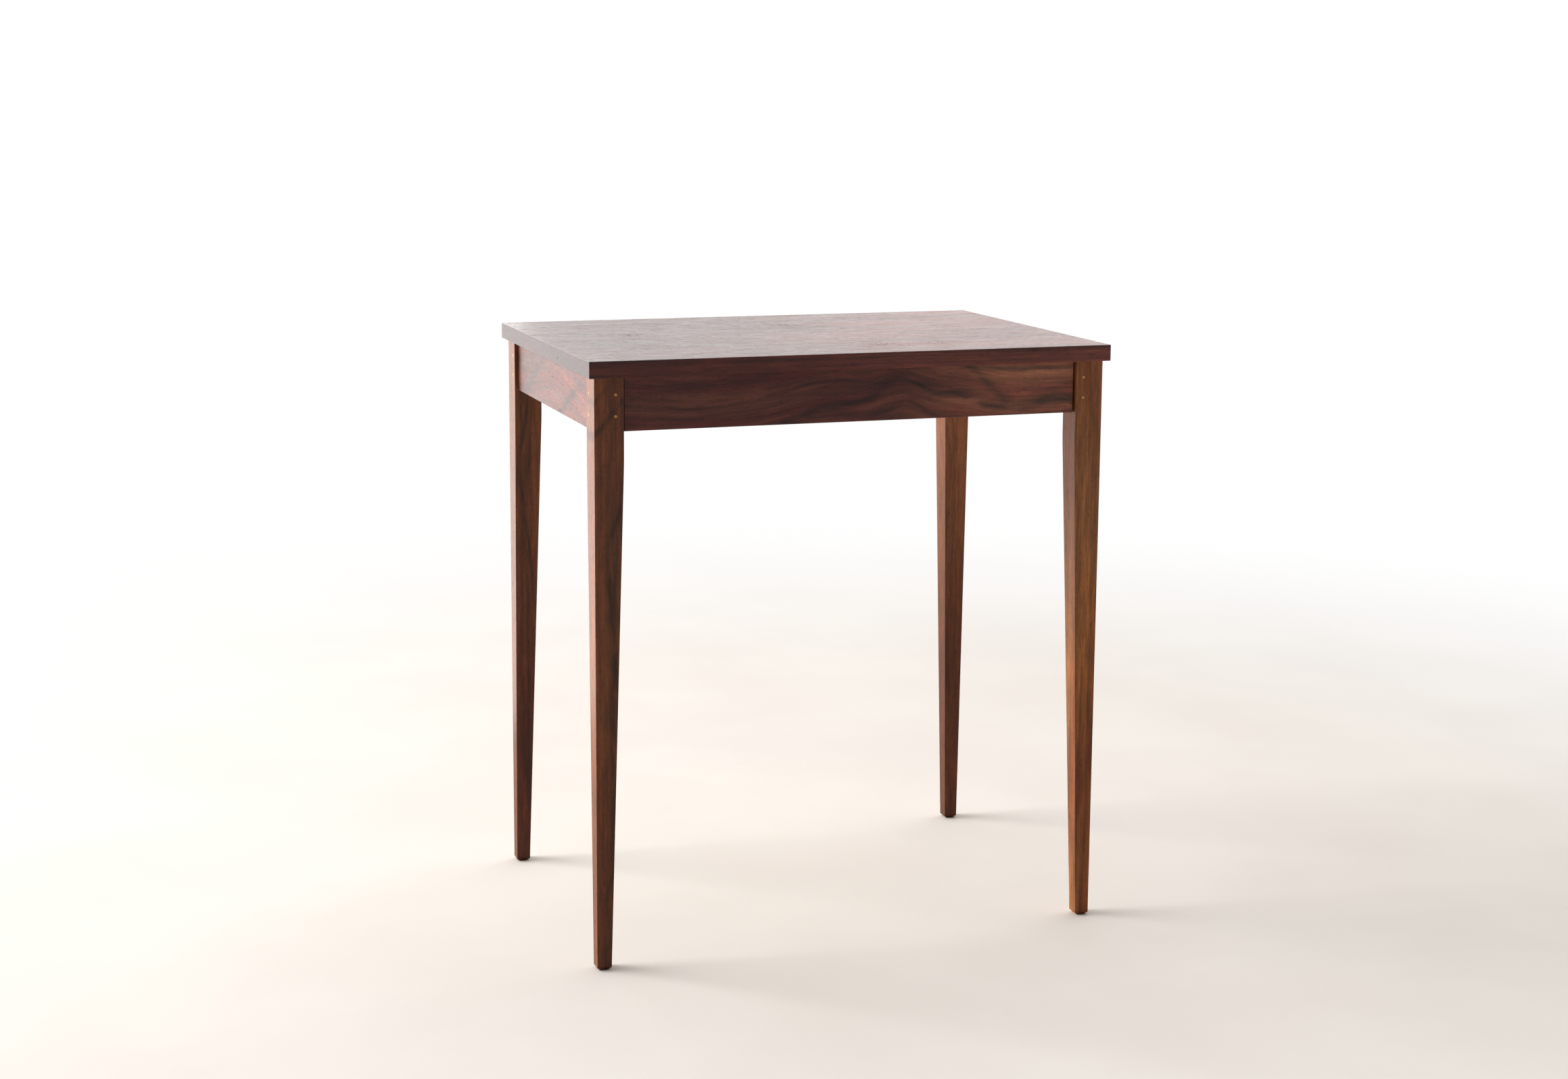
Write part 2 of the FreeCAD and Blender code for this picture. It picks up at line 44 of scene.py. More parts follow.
class Graph:
    """A node tree with short calls for the nodes used here."""

    def __init__(self, tree):
        self.tree = tree
        tree.nodes.clear()

    def add(self, kind):
        return self.tree.nodes.new("ShaderNode" + kind)

    def link(self, source, target):
        self.tree.links.new(source, target)

    def put(self, value, target):
        """A number, colour or vector into a socket, or a link when value is an output."""
        if isinstance(value, bpy.types.NodeSocket):
            self.link(value, target)
        else:
            target.default_value = value

    def calc(self, operation, a, b=0.0):
        node = self.add("Math")
        node.operation = operation
        self.put(a, node.inputs[0])
        self.put(b, node.inputs[1])
        return node.outputs[0]

    def plus(self, a, b):
        return self.calc("ADD", a, b)

    def minus(self, a, b):
        return self.calc("SUBTRACT", a, b)

    def times(self, a, b):
        return self.calc("MULTIPLY", a, b)

    def over(self, a, b):
        return self.calc("DIVIDE", a, b)

    def centred(self, noise):
        """A noise less its middle value."""
        return self.minus(noise, 0.5)

    def bell(self, distance):
        """1 at distance 0, falling smoothly to almost 0 at 2 on either side."""
        return self.calc("EXPONENT", self.times(self.times(distance, distance), -1.0))

    def lessened(self, mask, amount):
        """1 where mask is 0, less by amount where mask is 1."""
        return self.minus(1.0, self.times(mask, amount))

    def vector(self, operation, a, b=(0, 0, 0)):
        node = self.add("VectorMath")
        node.operation = operation
        self.put(a, node.inputs[0])
        self.put(b, node.inputs[1])
        return node.outputs["Value" if operation == "LENGTH" else "Vector"]

    def split(self, source):
        node = self.add("SeparateXYZ")
        self.link(source, node.inputs[0])
        return node.outputs

    def join(self, x, y, z):
        node = self.add("CombineXYZ")
        for value, target in zip((x, y, z), node.inputs):
            self.put(value, target)
        return node.outputs[0]

    def noise(self, where, scale, detail=2.0, rough=0.5, output="Fac"):
        """3D noise with its own scale in each direction: one value, or three as its Color."""
        node = self.add("TexNoise")
        node.inputs["Scale"].default_value = 1.0
        node.inputs["Detail"].default_value = detail
        node.inputs["Roughness"].default_value = rough
        self.link(self.vector("MULTIPLY", where, scale), node.inputs["Vector"])
        return node.outputs[output]

    def ramp(self, value, low, high, out_low=0.0, out_high=1.0, smooth=True):
        """value carried from the span low..high to out_low..out_high and held there."""
        node = self.add("MapRange")
        node.interpolation_type = "SMOOTHSTEP" if smooth else "LINEAR"
        for socket, number in zip(node.inputs, (value, low, high, out_low, out_high)):
            self.put(number, socket)
        return node.outputs[0]

    def vary(self, value, span, amount, smooth=True):
        """From 1 - amount to 1 + amount as value goes through the span."""
        return self.ramp(value, *span, 1 - amount, 1 + amount, smooth=smooth)

    def blend(self, amount, a, b, kind="MIX"):
        """Colour a changed towards b by amount."""
        node = self.add("Mix")
        node.data_type = "RGBA"
        node.blend_type = kind
        self.put(amount, node.inputs["Factor"])
        self.put(a, node.inputs[6])
        self.put(b, node.inputs[7])
        return node.outputs[2]


class Surface(Graph):
    """A material with one Principled shader."""

    def __init__(self, name):
        self.material = bpy.data.materials.new(name)
        self.material.use_nodes = True
        super().__init__(self.material.node_tree)
        self.output = self.add("OutputMaterial")
        self.shader = self.add("BsdfPrincipled")
        self.link(self.shader.outputs[0], self.output.inputs["Surface"])
        self.coords = self.add("TexCoord").outputs

    def bump(self, height, depth):
        """A bump that rises by depth metres where height goes from 0 to 1."""
        node = self.add("Bump")
        node.inputs["Strength"].default_value = 1.0
        node.inputs["Distance"].default_value = depth
        self.link(height, node.inputs["Height"])
        self.link(node.outputs[0], self.shader.inputs["Normal"])


def linear(r, g, b):
    """A colour given as 0-255 screen values, in linear light."""
    def one(value):
        value /= 255
        return value / 12.92 if value <= 0.04045 else ((value + 0.055) / 1.055) ** 2.4
    return (one(r), one(g), one(b), 1.0)


# ---------------------------------------------------------------- wood: where a point lay in the tree

# For each axis of the grain, the axes along it and to both sides of it, called across and up.
AXES = {"X": (0, 1, 2), "Y": (1, 0, 2), "Z": (2, 0, 1)}

MIDDLE = (0.5, 0.5, 0.5)
NOISE_SPAN = (0.3, 0.7)  # holds nearly all values of a noise
DRIFT_SCALE = (2.2, 11, 11)
RIPPLE_SCALE = (14, 70, 70)
BOARD_STEP = (3.0, 0.10, 0.02)
BOARD_SEED = 3.0


def swells(g, along, humps):
    """The sum of smooth humps along the board, each (place, half_width, height)."""
    total = 0.0
    for place, half_width, height in humps:
        hump = g.bell(g.over(g.minus(along, place), half_width))
        total = g.plus(total, g.times(hump, height))
    return total


def board_step(g, across, width):
    """A random step in the tree for each edge-glued board of this width."""
    chance = g.add("TexWhiteNoise")
    chance.noise_dimensions = "1D"
    index = g.calc("FLOOR", g.over(across, width))
    g.link(g.plus(index, BOARD_SEED), chance.inputs["W"])
    return g.split(g.vector("MULTIPLY", chance.outputs["Color"], BOARD_STEP))


def place_in_tree(g, axes, shift, waves, slope, board_width):
    """Where each point of the piece lay in the tree: along the trunk, across it and up."""
    along, across, up = axes
    if board_width:
        steps = board_step(g, across, board_width)
        along, across, up = [g.plus(value, step) for value, step in zip(axes, steps)]
    if waves:
        up = g.minus(up, swells(g, axes[0], waves))
    if slope:
        across = g.minus(across, g.times(along, slope))
    return g.vector("ADD", g.join(along, across, up), shift)


def radius_in_tree(g, place, pith, look):
    """The distance from the pith line, with a slow drift and a short ripple in it."""
    warped = place
    for scale, size in ((DRIFT_SCALE, look["drift"]), (RIPPLE_SCALE, look["ripple"])):
        wander = g.vector("SUBTRACT", g.noise(place, scale, output="Color"), MIDDLE)
        warped = g.vector("ADD", warped, g.vector("MULTIPLY", wander, (0, size, size)))
    from_pith = g.vector("SUBTRACT", warped, (0, *pith))
    return g.vector("LENGTH", g.vector("MULTIPLY", from_pith, (0, 1, 1)))


# ---------------------------------------------------------------- wood: its marks

VEIN_WANDER = 6 * MM
VEIN_WANDER_SCALE = (30, 110, 1)
VEIN_PATCH_SCALE = (22, 90, 1)
VEIN_PATCH_LAYER = 5.0
VEIN_PATCH_SPAN = (0.3, 0.6)
VEIN_PATCH_LEAST = 0.45

CURL_SPACING = 10 * MM
CURL_UNEVEN = 30 * MM
CURL_UNEVEN_SCALE = (38, 50, 1)
CURL_LAYER = 9.0
CURL_BOW = 0.6
CURL_POWER = 2.0
CURL_DARK = 0.28
CURL_ROUGH = 0.2
CURL_GROOVE = 2.0

FINE = (3.0, 0.6)  # detail and roughness of the finest noises
STREAK_SCALE = (5, 150, 150)
MOTTLE_SCALE = (26, 200, 200)
FIBRE_SCALE = (18, 620, 620)
FIBRE_SPAN = (0.25, 0.75)
FLECK_SCALE = (34, 190, 190)
FLECK_SPAN = (0.72, 0.80)
PORE_SCALE = (150, 2300, 2300)
PORE_EDGE = 0.1
PORE_GAP_SCALE = (40, 900, 900)
PORE_GAP_SPAN = (0.4, 0.6)
PORE_GAP_LEAST = 0.35
END_SPAN = (0.75, 0.97)

RING_POWER = 2.5
RING_FADE_SCALE = (3.0, 60)
RING_FADE_LAYER = 0.0
BAND_LAYER = 1.7
TONE_ALONG = 3.0
TONE_LAYER = 4.1


def vein_mask(g, along, level, veins):
    """How dark the pigment veins are, 0 to 1."""
    wander = g.noise(g.join(along, level, 0.0), VEIN_WANDER_SCALE, 3.0)
    level = g.plus(level, g.times(g.centred(wander), VEIN_WANDER))
    clear = 1.0
    for start, thickness, depth, slope, humps in veins:
        curve = g.plus(g.times(along, slope), start)
        curve = g.plus(curve, swells(g, along, humps))
        core = g.bell(g.over(g.minus(level, curve), thickness))
        clear = g.times(clear, g.lessened(core, depth))
    patches = g.noise(g.join(along, level, VEIN_PATCH_LAYER), VEIN_PATCH_SCALE)
    return g.times(g.minus(1.0, clear), g.ramp(patches, *VEIN_PATCH_SPAN, VEIN_PATCH_LEAST, 1.0))


def curl_mask(g, along, level, curls):
    """Short nested arcs across the grain, as beside a buried knot: each is (along, level, size)."""
    uneven = g.noise(g.join(along, level, CURL_LAYER), CURL_UNEVEN_SCALE)
    uneven = g.times(g.centred(uneven), CURL_UNEVEN)
    total = 0.0
    for place, middle, size in curls:
        ahead = g.minus(along, place)
        aside = g.minus(level, middle)
        square = g.times(aside, aside)
        near = g.calc("EXPONENT", g.times(g.plus(g.times(ahead, ahead), square), -1 / size**2))
        bow = g.plus(g.minus(ahead, g.times(square, CURL_BOW / size)), uneven)
        arcs = g.calc("POWER", g.calc("FRACT", g.over(bow, CURL_SPACING)), CURL_POWER)
        total = g.plus(total, g.times(near, arcs))
    return total


def fine_marks(g, place, look):
    """Noises stretched along the grain, and the pores, which show as dots on the end grain."""
    gap = g.ramp(g.noise(place, PORE_GAP_SCALE, 0.0), *PORE_GAP_SPAN, PORE_GAP_LEAST, 1.0)
    pore_from = look["pore_from"]
    pore = g.ramp(g.noise(place, PORE_SCALE, 1.0, 0.4), pore_from, pore_from + PORE_EDGE)
    return {
        "streak": g.noise(place, STREAK_SCALE, *FINE),
        "mottle": g.noise(place, MOTTLE_SCALE, *FINE),
        "fibre": g.noise(place, FIBRE_SCALE, *FINE),
        "fleck": g.ramp(g.noise(place, FLECK_SCALE, 1.0), *FLECK_SPAN),
        "pore": g.times(pore, gap),
    }


def end_mask(g, grain_axis):
    """1 where the surface cuts across the fibres, 0 where it runs along them."""
    return g.ramp(g.calc("ABSOLUTE", g.split(g.coords["Normal"])[grain_axis]), *END_SPAN)


def ring_marks(g, place, radius, look):
    """Three masks that follow the rings: the tone, the pigment bands and the rings' dark lines."""
    trunk = g.split(place)[0]

    def ring_noise(scale, layer, detail=2.0, rough=0.5):
        return g.noise(g.join(trunk, radius, layer), (*scale, 1), detail, rough)

    line = g.calc("POWER", g.calc("FRACT", g.over(radius, look["ring"])), RING_POWER)
    line = g.times(line, g.ramp(ring_noise(RING_FADE_SCALE, RING_FADE_LAYER), *NOISE_SPAN))
    band_scale = (look["band_along"], look["band_across"])
    band = g.ramp(ring_noise(band_scale, BAND_LAYER, 3.0, 0.55), *look["band_span"])
    tone = g.ramp(ring_noise((TONE_ALONG, look["tone"]), TONE_LAYER), *NOISE_SPAN)
    return tone, band, line


# ---------------------------------------------------------------- wood: its colour and finish

PORE_ROUGH = 0.2
STREAK_ROUGH = 0.12
FLECK_ROUGH = 0.4
FIBRE_RELIEF = 0.4


def figure_color(g, place, radius, look, marks):
    """The wood's pale and warm tones, darkened by each mark in turn."""
    tone, band, line = ring_marks(g, place, radius, look)
    darkenings = [g.times(band, look["band"]), g.times(line, look["ring_dark"])]
    if "vein" in marks:
        darkenings.append(marks["vein"])
    if "curl" in marks:
        darkenings.append(g.times(marks["curl"], CURL_DARK))
    darkenings.append(g.times(marks["fleck"], look["fleck"]))
    color = g.blend(tone, look["pale"], look["warm"])
    for amount in darkenings:
        color = g.blend(amount, color, look["dark"])
    return color


def lightness(g, look, marks, painted_lit_face):
    """What the marks and the painted light on one face multiply the colour by. The fibres' ends drink the
    finish and darken.
    """
    light = g.vary(marks["streak"], NOISE_SPAN, look["streak"], smooth=False)
    light = g.times(light, g.vary(marks["mottle"], NOISE_SPAN, look["mottle"]))
    light = g.times(light, g.vary(marks["fibre"], FIBRE_SPAN, look["fibre"], smooth=False))
    light = g.times(light, g.lessened(marks["pore"], look["pore"]))
    # Painted light: the face at x is made lighter, as if lit by the window on the left.
    if painted_lit_face:
        x, painted_lightening = painted_lit_face
        light = g.times(light, g.ramp(g.split(g.coords["Object"])[0], x, x + MM, painted_lightening, 1.0))
    return g.times(light, g.lessened(marks["end"], look["end"]))


def oil_finish(g, look, marks):
    """Roughness, reflection and relief of the oiled wood."""
    rough = g.plus(look["rough"], g.times(marks["pore"], PORE_ROUGH))
    rough = g.plus(rough, g.times(g.centred(marks["streak"]), STREAK_ROUGH))
    cloud = g.times(g.centred(marks["mottle"]), g.minus(1.0, marks["end"]))
    rough = g.plus(rough, g.times(cloud, look["cloud"]))
    height = g.minus(g.times(marks["fibre"], FIBRE_RELIEF), marks["pore"])
    if "curl" in marks:
        rough = g.plus(rough, g.times(marks["curl"], CURL_ROUGH))
        height = g.minus(height, g.times(marks["curl"], CURL_GROOVE))
    rough = g.plus(rough, g.times(marks["fleck"], look["fleck"] * FLECK_ROUGH))
    g.link(rough, g.shader.inputs["Roughness"])
    g.shader.inputs["Specular IOR Level"].default_value = look["specular"]
    g.bump(height, look["relief"])


def wood(name, grain, look, pith, shift=(0, 0, 0), waves=(), slope=0.0, board_width=None,
         veins=(), curls=(), level_axis=2, painted_light=None, painted_lit_face=None):
    """A solid wood: rings round a pith line along the grain, pigment bands, fibres and pores.

    grain is the board's long axis, pith the pith line's place across and up, shift moves the piece
    within the tree, waves are the swells of the figure along the board, slope leans the figure and
    board_width is that of edge-glued boards. The levels of the veins and curls are measured along
    level_axis. painted_light is (start, end, colour, colour): painted light and shade, a factor on
    the colour that goes from one to the other between those places along the board.
    painted_lit_face is (x, lightness) of the face at x: painted light that makes that face lighter.
    """
    g = Surface(name)
    spot = g.split(g.coords["Object"])
    order = AXES[grain]
    axes = [spot[axis] for axis in order]
    along = axes[0]
    place = place_in_tree(g, axes, shift, waves, slope, board_width)
    radius = radius_in_tree(g, place, pith, look)

    marks = fine_marks(g, place, look)
    marks["end"] = end_mask(g, order[0])
    if veins:
        marks["vein"] = vein_mask(g, along, spot[level_axis], veins)
    if curls:
        marks["curl"] = curl_mask(g, along, spot[level_axis], curls)

    light = lightness(g, look, marks, painted_lit_face)
    color = figure_color(g, place, radius, look, marks)
    color = g.blend(1.0, color, g.join(light, light, light), "MULTIPLY")
    # Painted light and shade: the colour made lighter or darker between two places along the board.
    if painted_light:
        start, end, first, last = painted_light
        channels = [g.ramp(along, start, end, *pair) for pair in zip(first, last)]
        color = g.blend(1.0, color, g.join(*channels), "MULTIPLY")
    g.link(color, g.shader.inputs["Base Color"])
    oil_finish(g, look, marks)
    return g.material


# ---------------------------------------------------------------- looks

# pale and warm are the wood's two tones and dark the colour of its marks. drift and ripple are how
# far the rings wander, and ring is their spacing. band_along, band_across and tone are scales of
# noise, and band_span and pore_from its values where the bands and the pores begin. cloud is how
# much the mottling changes the roughness, and relief the depth of the grain. The other names are
# those of marks, with their strengths.
WALNUT = {
    "pale": linear(122, 69, 35), "warm": linear(97, 50, 22), "dark": linear(42, 23, 11),
    "drift": 0.020, "ripple": 0.0016, "ring": 0.0075, "ring_dark": 0.40,
    "band": 0.55, "band_along": 1.6, "band_across": 75, "band_span": (0.48, 0.70),
    "streak": 0.22, "fibre": 0.19, "pore": 0.6, "pore_from": 0.59, "end": 0.45,
    "rough": 0.40, "specular": 0.25, "relief": 0.05 * MM, "cloud": 0.1, "fleck": 0.3,
    "tone": 16, "mottle": 0.22,
}
WALNUT_CALM = dict(WALNUT, band=0.15, ring_dark=0.25)
WALNUT_TOP = dict(
    WALNUT, pale=linear(116, 62, 50), warm=linear(92, 44, 36), dark=linear(44, 22, 20),
    rough=0.36, relief=0.17 * MM, streak=0.3, cloud=0.32, fleck=0.7, ring_dark=0.55,
    fibre=0.14, pore=0.45,
)
WALNUT_FIGURED = dict(
    WALNUT, pale=linear(114, 66, 50), warm=linear(94, 42, 35), dark=linear(42, 25, 21),
    band=0.30, ring_dark=0.15, streak=0.24, tone=34,
)
WALNUT_WARM = dict(
    WALNUT, pale=linear(158, 102, 55), warm=linear(132, 72, 29), band=0.4, streak=0.3, tone=30,
)
WALNUT_EVEN = dict(WALNUT, pale=linear(144, 85, 46), warm=linear(116, 61, 28), band=0.25)
MAPLE = {
    "pale": linear(226, 200, 160), "warm": linear(214, 182, 138), "dark": linear(176, 136, 92),
    "drift": 0.012, "ripple": 0.001, "ring": 0.0045, "ring_dark": 0.45,
    "band": 0.25, "band_along": 1.5, "band_across": 60, "band_span": (0.45, 0.7),
    "streak": 0.05, "fibre": 0.05, "pore": 0.12, "pore_from": 0.62, "end": 0.38,
    "rough": 0.45, "specular": 0.35, "relief": 0.02 * MM, "cloud": 0.05, "fleck": 0.0,
    "tone": 14, "mottle": 0.03,
}
PIN_WOOD = dict(
    MAPLE, pale=linear(214, 160, 92), warm=linear(194, 138, 72), dark=linear(140, 92, 46), end=0.0,
)

# Each vein is (level, thickness, depth, slope, humps). The level is that at place 0 along the
# board, depth is 0 to 1, slope is the rise per length, and each hump is (place, half width, height).
RISE = ((-0.03, 0.06, 0.020), (-0.19, 0.06, -0.007))
DRAWER_VEINS = (
    (0.620, 0.0042, 0.80, 0.06, RISE + ((0.058, 0.042, 0.041), (0.125, 0.03, 0.017))),
    (0.612, 0.0050, 0.50, 0.03, RISE + ((0.064, 0.030, 0.026),)),
    (0.649, 0.0030, 0.55, 0.0, RISE + ((0.07, 0.05, 0.012),)),
    (0.674, 0.0040, 0.60, 0.0, RISE + ((0.10, 0.05, 0.010),)),
    (0.821, 0.0065, 0.70, -1.0, ((0.27, 0.05, 0.085),)),
    (0.664, 0.0120, 0.25, 0.0, ((0.20, 0.06, -0.030),)),
)
SIDE_VEINS = (
    (0.602, 0.0090, 0.80, 0.0, ((-0.15, 0.10, 0.062),)),
    (0.715, 0.0160, 0.60, -0.7, ()),
    (0.690, 0.0140, 0.45, 0.0, ((0.15, 0.06, -0.040),)),
)
FRONT_LEFT_VEINS = (
    (LEGS_LEFT - 0.511, 0.0042, 0.62, 0.83, ()),
    (LEGS_LEFT - 0.522, 0.0030, 0.45, 0.80, ()),
    (LEGS_LEFT + 0.011, 0.0032, 0.62, 0.0, (
        (0.56, 0.045, 0.025), (0.65, 0.06, 0.03), (0.2, 0.2, 0.02))),
    (LEGS_LEFT + 0.021, 0.0040, 0.55, 0.0, ((0.08, 0.022, -0.010), (0.46, 0.04, -0.004))),
    (LEGS_LEFT + 0.022, 0.0045, 0.50, 0.0, (
        (0.30, 0.02, -0.004), (0.015, 0.02, -0.012), (0.6, 0.1, 0.012))),
)
BACK_LEFT_VEINS = (
    (LEGS_LEFT + 0.016, 0.0022, 0.55, 0.0, ((0.52, 0.05, -0.012),)),
    (LEGS_LEFT + 0.021, 0.0022, 0.50, 0.0, ((0.47, 0.05, -0.012), (0.1, 0.1, 0.008))),
    (LEGS_LEFT + 0.008, 0.0028, 0.45, 0.0, ((0.08, 0.06, 0.008),)),
)
DRAWER_WAVES = ((0.058, 0.04, 0.024), (-0.03, 0.06, 0.015), (0.13, 0.04, 0.010), (-0.19, 0.06, -0.006))
TOP_CURLS = ((0.055, -0.150, 0.026), (0.128, -0.145, 0.022), (-0.20, 0.03, 0.016), (0.02, 0.09, 0.018))
TOP_BOARD_WIDTH = 0.11


def dress(node, material):
    """Gives a CAD node its material."""
    slots = nodes[node].data.materials
    slots.clear()
    slots.append(material)


def dress_top():
    # Painted light and shade: the top's colour is about halved left of x -0.12 and a little lighter right
    # of x 0.15.
    dress("tabletop", wood(
        "Walnut top", "X", WALNUT_TOP, (0.05, -0.16), (0.3, 0.02, 0.0), board_width=TOP_BOARD_WIDTH,
        curls=TOP_CURLS, level_axis=1, painted_light=(-0.12, 0.15, (0.58, 0.47, 0.46), (1.12, 1.04, 0.98))))


def dress_legs():
    # Painted light and shade: each leg's colour is multiplied by a factor that changes up its height, and
    # the left faces of the two left legs are painted 1.5 and 1.35 times lighter, as lit from the left.
    legs = {
        "leg_front_left": dict(
            look=WALNUT_CALM, pith=(-0.36, -0.27), shift=(0.2, 0, 0), veins=FRONT_LEFT_VEINS,
            painted_light=(0.3, 0.6, (0.90, 0.84, 0.70), (0.96, 0.90, 0.90)), painted_lit_face=(LEGS_LEFT, 1.5)),
        "leg_front_right": dict(
            look=WALNUT_WARM, pith=(0.36, -0.28), shift=(1.7, 0, 0),
            painted_light=(0.36, 0.5, (1.12, 1.03, 0.78), (0.82, 0.77, 0.74))),
        "leg_back_left": dict(
            look=WALNUT_CALM, pith=(-0.36, 0.29), shift=(3.1, 0, 0), slope=0.02, veins=BACK_LEFT_VEINS,
            painted_light=(0.05, 0.55, (0.68, 0.48, 0.36), (0.85, 0.87, 0.86)), painted_lit_face=(LEGS_LEFT, 1.35)),
        "leg_back_right": dict(
            look=WALNUT_EVEN, pith=(0.37, 0.27), shift=(4.6, 0, 0), slope=-0.02,
            painted_light=(0.2, 0.58, (0.50, 0.38, 0.22), (0.95, 0.98, 1.06))),
    }
    for node, settings in legs.items():
        dress(node, wood("Walnut " + node, "Z", level_axis=0, **settings))


def dress_boards():
    # Painted light: the left apron is painted about 1.5 times lighter towards the front.
    dress("side_apron_left", wood(
        "Walnut side left", "Y", WALNUT_FIGURED, (-0.36, 0.5), (5.2, 0, 0), ((0.0, 0.12, 0.03),),
        veins=SIDE_VEINS, painted_light=(-0.12, 0.08, (1.5, 1.45, 1.4), (1.0, 1.05, 1.05))))
    dress("side_apron_right", wood(
        "Walnut side right", "Y", WALNUT_FIGURED, (0.36, 0.5), (6.4, 0, 0), ((0.05, 0.1, 0.02),)))
    dress("back_apron", wood("Walnut back", "X", WALNUT, (0.28, 0.52), (7.7, 0, 0), ((0.1, 0.12, 0.02),)))
    dress("front_rail", wood("Walnut rail", "X", WALNUT, (-0.1, 0.5), (8.3, 0, 0)))
    # Painted light and shade: the drawer front's colour is multiplied by 0.7 to 0.8 left of x 0.03 and by
    # 2.2 to 2.7 right of x 0.2.
    dress("drawer_front", wood(
        "Walnut drawer front", "X", WALNUT_FIGURED, (-0.24, 0.52), (9.1, 0, 0), DRAWER_WAVES,
        veins=DRAWER_VEINS, painted_light=(0.03, 0.2, (0.78, 0.68, 0.74), (2.2, 2.7, 2.3))))


def dress_inside():
    maple_long = wood("Maple long", "X", MAPLE, (0.1, 0.3))
    maple_deep = wood("Maple deep", "Y", MAPLE, (0.1, 0.3), (1.3, 0, 0))
    for node in ("drawer_box_front", "drawer_back", "drawer_bottom", "drawer_stop"):
        dress(node, maple_long)
    for node in ("drawer_side_left", "drawer_side_right", "drawer_runner_left", "drawer_runner_right",
                 "kicker_left", "kicker_right", "tabletop_buttons"):
        dress(node, maple_deep)


def dress_pins():
    dress("front_and_back_pins", wood("Pins front and back", "Y", PIN_WOOD, (0.0, 0.0), (2.2, 0, 0)))
    dress("side_pins", wood("Pins sides", "X", PIN_WOOD, (0.0, 0.0), (2.9, 0, 0)))


STEEL_MOTTLE_SCALE = (700, 700, 700)
STEEL_ROUGH = (0.28, 0.42)
STEEL_RELIEF = 0.01 * MM


def dress_screws():
    """Zinc-plated steel with a fine mottling."""
    g = Surface("Zinc plate")
    mottle = g.noise(g.coords["Object"], STEEL_MOTTLE_SCALE, 3.0)
    color = g.blend(g.ramp(mottle, *NOISE_SPAN), linear(196, 192, 180), linear(158, 156, 150))
    g.link(color, g.shader.inputs["Base Color"])
    g.shader.inputs["Metallic"].default_value = 1.0
    g.link(g.ramp(mottle, *NOISE_SPAN, *STEEL_ROUGH), g.shader.inputs["Roughness"])
    g.bump(mottle, STEEL_RELIEF)
    for node in ("tabletop_screws", "drawer_screws"):
        dress(node, g.material)


# ---------------------------------------------------------------- stage

FLOOR_HALF = 30.0
FLOOR_FADE = (0.9, 2.6)
FLOOR_MOTTLE_SCALE = (3, 3, 3)
FLOOR_ROUGH = 0.6

# The world's light by the direction it comes from: y from the front to the back, z up to overhead.
WORLD_TURN = (-0.4, 0.5)
WORLD_FRONT = 0.10
WORLD_BACK = 2.2
WORLD_RISE = (0.25, 0.8)
WORLD_TOP = 0.6
WARM_WHITE = (1.0, 0.988, 0.975)


def make_floor():
    """A plain pale floor that fades to white well away from the table."""
    mesh = bpy.data.meshes.new("Floor")
    half = FLOOR_HALF
    corners = [(-half, -half, 0), (half, -half, 0), (half, half, 0), (-half, half, 0)]
    mesh.from_pydata(corners, [], [(0, 1, 2, 3)])
    floor = bpy.data.objects.new("Floor", mesh)
    scene.collection.objects.link(floor)
    g = Surface("Pale floor")
    mottle = g.noise(g.coords["Object"], FLOOR_MOTTLE_SCALE, 3.0)
    color = g.blend(g.ramp(mottle, *NOISE_SPAN), linear(237, 231, 225), linear(241, 236, 230))
    g.link(color, g.shader.inputs["Base Color"])
    g.shader.inputs["Roughness"].default_value = FLOOR_ROUGH
    g.shader.inputs["Specular IOR Level"].default_value = 0.0
    white = g.add("Emission")
    fade = g.add("MixShader")
    far = g.vector("LENGTH", g.coords["Object"])
    g.link(g.ramp(far, *FLOOR_FADE), fade.inputs[0])
    g.link(g.shader.outputs[0], fade.inputs[1])
    g.link(white.outputs[0], fade.inputs[2])
    g.link(fade.outputs[0], g.output.inputs["Surface"])
    mesh.materials.append(g.material)


def make_world():
    """White to the camera; as light, bright behind the table, dimmer above and dark in front."""
    world = bpy.data.worlds.new("Studio")
    scene.world = world
    world.use_nodes = True
    g = Graph(world.node_tree)
    toward = g.split(g.add("TexCoord").outputs["Generated"])
    level = g.ramp(toward[1], *WORLD_TURN, WORLD_FRONT, WORLD_BACK)
    level = g.times(level, g.ramp(toward[2], *WORLD_RISE, 1.0, WORLD_TOP))
    lit = g.add("Background")
    lit.inputs["Color"].default_value = (*WARM_WHITE, 1)
    g.link(level, lit.inputs["Strength"])
    seen = g.add("Background")
    seen.inputs["Color"].default_value = (1, 1, 1, 1)
    mix = g.add("MixShader")
    g.link(g.add("LightPath").outputs["Is Camera Ray"], mix.inputs[0])
    g.link(lit.outputs[0], mix.inputs[1])
    g.link(seen.outputs[0], mix.inputs[2])
    g.link(mix.outputs[0], g.add("OutputWorld").inputs["Surface"])


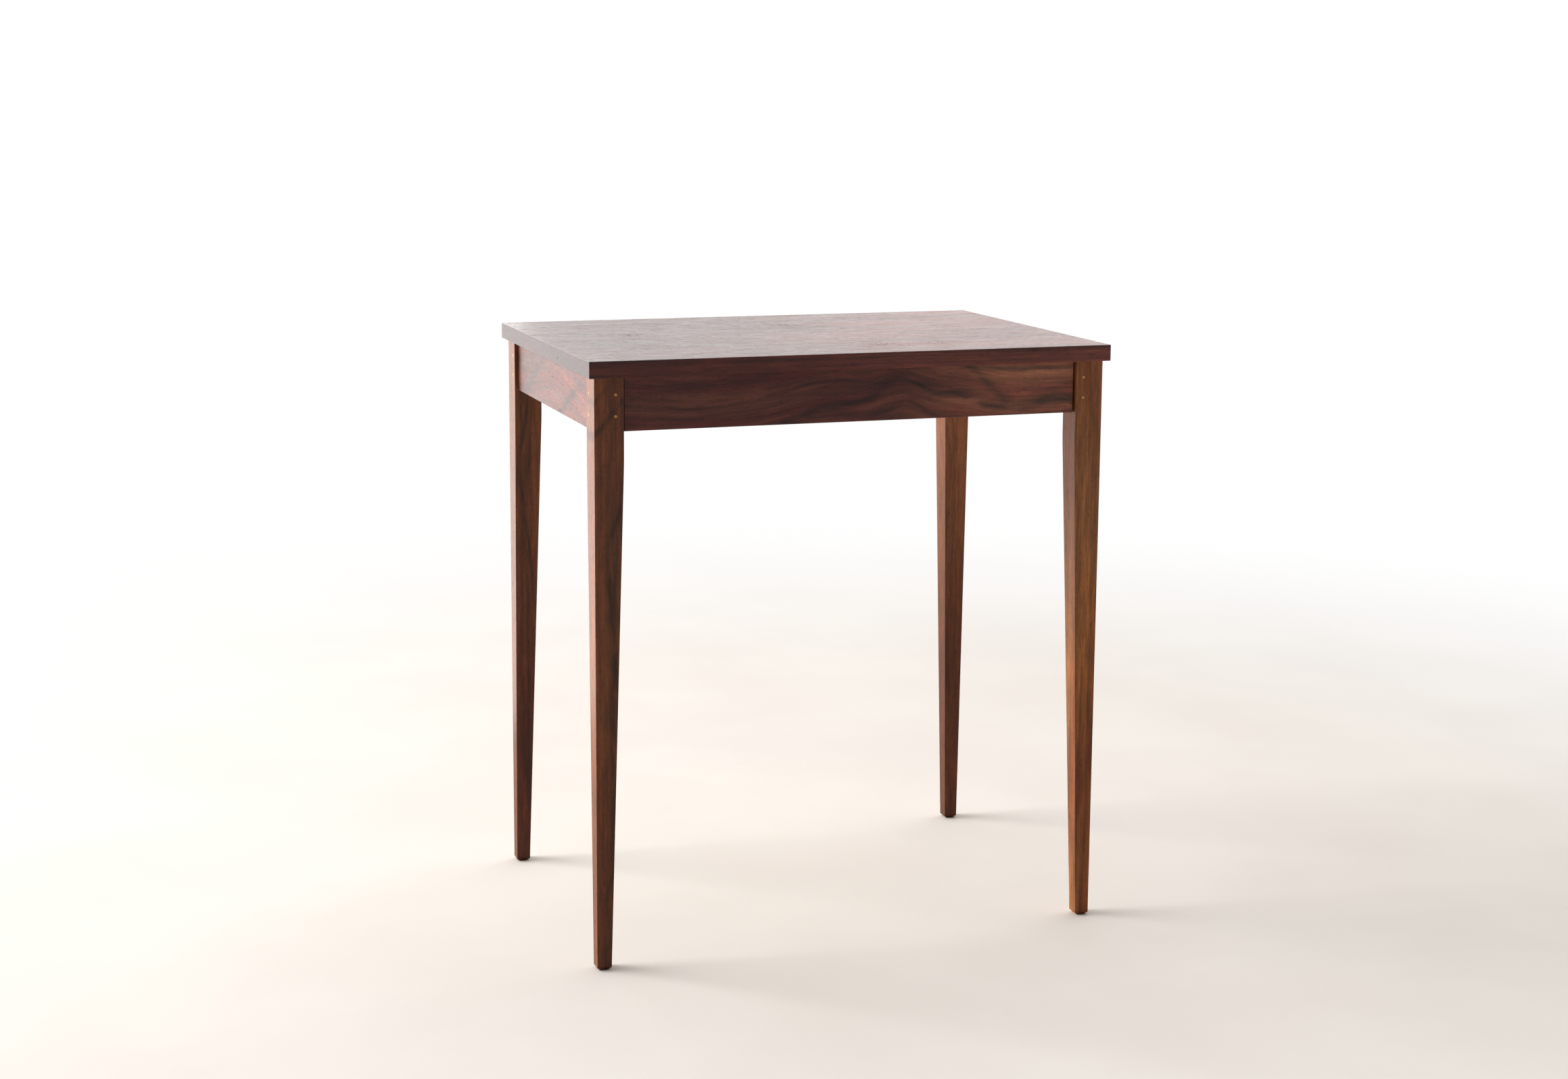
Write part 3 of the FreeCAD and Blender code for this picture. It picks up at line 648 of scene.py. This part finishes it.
def softbox(name, place, aim, width, height, radiance, mirrored):
    """A rectangular light that the camera doesn't see. It is either only mirrored or only lights."""
    light = bpy.data.lights.new(name, "AREA")
    light.shape = "RECTANGLE"
    light.size = width
    light.size_y = height
    light.energy = radiance * math.pi * width * height
    light.color = WARM_WHITE
    piece = bpy.data.objects.new(name, light)
    scene.collection.objects.link(piece)
    piece.location = place
    away = Vector(aim) - Vector(place)
    piece.rotation_mode = "QUATERNION"
    piece.rotation_quaternion = away.to_track_quat("-Z", "Y")
    piece.visible_camera = False
    piece.visible_diffuse = not mirrored
    piece.visible_glossy = mirrored


def make_lights():
    """A large window light from the back left; a wall and a ceiling for the oiled wood to mirror."""
    softbox("Window left", place=(-4.8, 2.0, 2.6), aim=(0, 0, 0.3),
            width=3.2, height=3.0, radiance=9.0, mirrored=False)
    softbox("Ceiling", place=(0.0, -0.3, 2.8), aim=(0, 0, 0),
            width=3.0, height=3.0, radiance=3.0, mirrored=True)
    softbox("Wall back left", place=(-1.20, 0.62, 0.78), aim=(-1.20, 0.0, 0.78),
            width=2.0, height=1.42, radiance=2.0, mirrored=True)


# ---------------------------------------------------------------- camera

CAMERA_PLACE = (-0.972, -2.768, 1.010)
CAMERA_AZIMUTH = -19.09
CAMERA_PITCH = -9.06
CAMERA_ROLL = 0.373
CAMERA_LENS = 55.5
CAMERA_SENSOR = 36.0
CAMERA_SHIFT = -0.05


def make_camera():
    """The viewpoint: a little left of the front, above the top, looking slightly down."""
    data = bpy.data.cameras.new("Camera")
    data.sensor_width = CAMERA_SENSOR
    data.lens = CAMERA_LENS
    data.shift_y = CAMERA_SHIFT
    camera = bpy.data.objects.new("Camera", data)
    scene.collection.objects.link(camera)
    turn = Matrix.Rotation(math.radians(CAMERA_AZIMUTH), 4, "Z")
    tilt = Matrix.Rotation(math.radians(90 + CAMERA_PITCH), 4, "X")
    roll = Matrix.Rotation(math.radians(CAMERA_ROLL), 4, "Z")
    camera.matrix_world = Matrix.Translation(CAMERA_PLACE) @ turn @ tilt @ roll
    scene.camera = camera


make_camera()
make_floor()
make_world()
make_lights()
dress_top()
dress_legs()
dress_boards()
dress_inside()
dress_pins()
dress_screws()
scene.view_settings.view_transform = "Standard"
